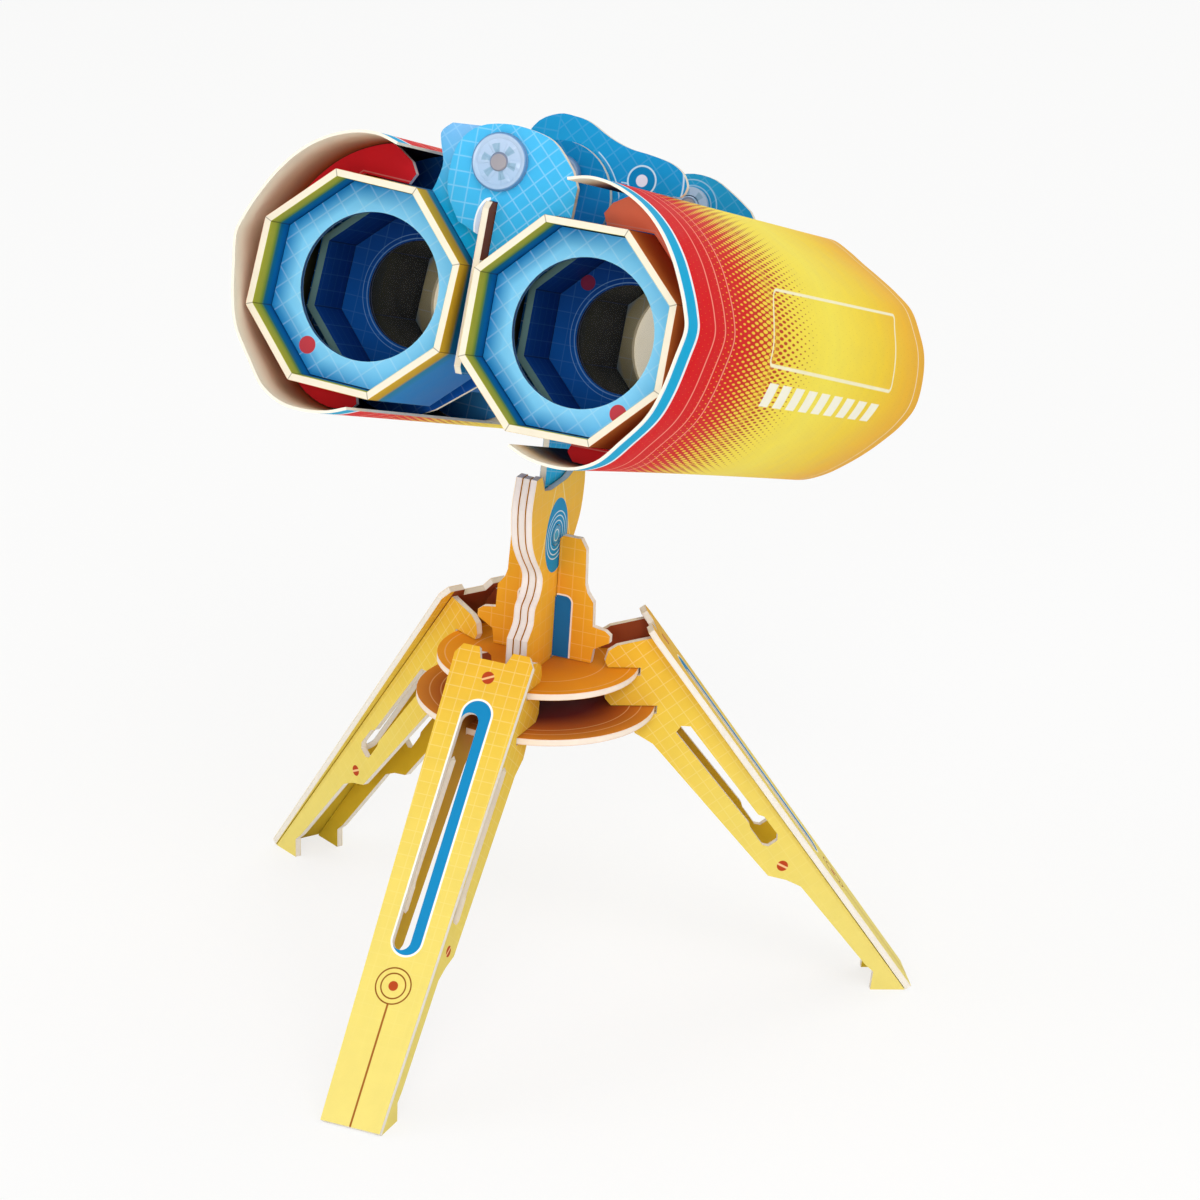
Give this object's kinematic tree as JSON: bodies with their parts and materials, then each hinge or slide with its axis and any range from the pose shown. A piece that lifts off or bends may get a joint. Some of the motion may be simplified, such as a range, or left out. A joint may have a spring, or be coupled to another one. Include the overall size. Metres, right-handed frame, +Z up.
{
  "type": "binoculars puzzle",
  "caption": "Printed foam-board puzzle model of binoculars with hinged octagonal barrels in curved card covers, tilting on the mast of a small table tripod.",
  "frame": {"origin": "middle of the bounding box on the floor", "axes": "+Z up, +Y the way the binoculars look, +X to the right of the person who looks through them"},
  "size_m": [0.2156, 0.2644, 0.2773],
  "materials": {
    "leg_board": "printed, satin",
    "disc_board": "printed, satin",
    "mast_board": "printed, satin",
    "spine_board": "printed, satin",
    "tube_board": "printed, satin",
    "ring_board": "printed, satin",
    "inner_board": "printed, satin",
    "hinge_board": "printed, satin",
    "former_board": "printed, satin",
    "cover_card": "printed, satin",
    "clear_plastic": "clear",
    "lens_plastic": "clear, polished"
  },
  "bodies": {
    "stand": {"leg1_left_side": "leg_board", "leg1_outer_panel": "leg_board", "leg1_right_side": "leg_board", "leg2_left_side": "leg_board", "leg2_outer_panel": "leg_board", "leg2_right_side": "leg_board", "leg3_left_side": "leg_board", "leg3_outer_panel": "leg_board", "leg3_right_side": "leg_board", "lower_disc": "disc_board", "mast_cross_plate": "mast_board", "mast_left_plate": "mast_board", "mast_middle_plate": "mast_board", "mast_right_plate": "mast_board", "tilt_pin": "clear_plastic", "upper_disc": "disc_board"},
    "binoculars": {"front_rivet": "clear_plastic", "front_rivet_cap": "clear_plastic", "mid_rivet": "clear_plastic", "mid_rivet_cap": "clear_plastic", "rear_rivet": "clear_plastic", "rear_rivet_cap": "clear_plastic", "right_cover": "cover_card", "right_end_former": "former_board", "right_eyepiece_lens": "lens_plastic", "right_eyepiece_ring": "ring_board", "right_eyepiece_tube": "tube_board", "right_front_former": "former_board", "right_front_hinge_plate": "hinge_board", "right_inner_tube": "inner_board", "right_lens_retainer": "inner_board", "right_lens_ring": "inner_board", "right_mid_plate": "hinge_board", "right_objective_lens": "lens_plastic", "right_objective_plate": "tube_board", "right_rear_plate": "hinge_board", "right_tube_spacer": "ring_board", "spine_plate": "spine_board"},
    "left_barrel": {"left_cover": "cover_card", "left_end_former": "former_board", "left_eyepiece_lens": "lens_plastic", "left_eyepiece_ring": "ring_board", "left_eyepiece_tube": "tube_board", "left_front_former": "former_board", "left_front_hinge_plate": "hinge_board", "left_inner_tube": "inner_board", "left_lens_retainer": "inner_board", "left_lens_ring": "inner_board", "left_mid_plate": "hinge_board", "left_objective_lens": "lens_plastic", "left_objective_plate": "tube_board", "left_rear_plate": "hinge_board", "left_tube_spacer": "ring_board"}
  },
  "joints": [
    {"name": "tilt", "type": "hinge", "parent": "stand", "child": "binoculars", "pos_m": [0, -0.01308, 0.1427], "axis": [1, 0, 0], "range_deg": [-12, 22]},
    {"name": "eye_spacing", "type": "hinge", "parent": "binoculars", "child": "left_barrel", "pos_m": [0, 0.01907, 0.23992], "axis": [0, 0.9494, -0.314], "range_deg": [-3, 20]}
  ]
}
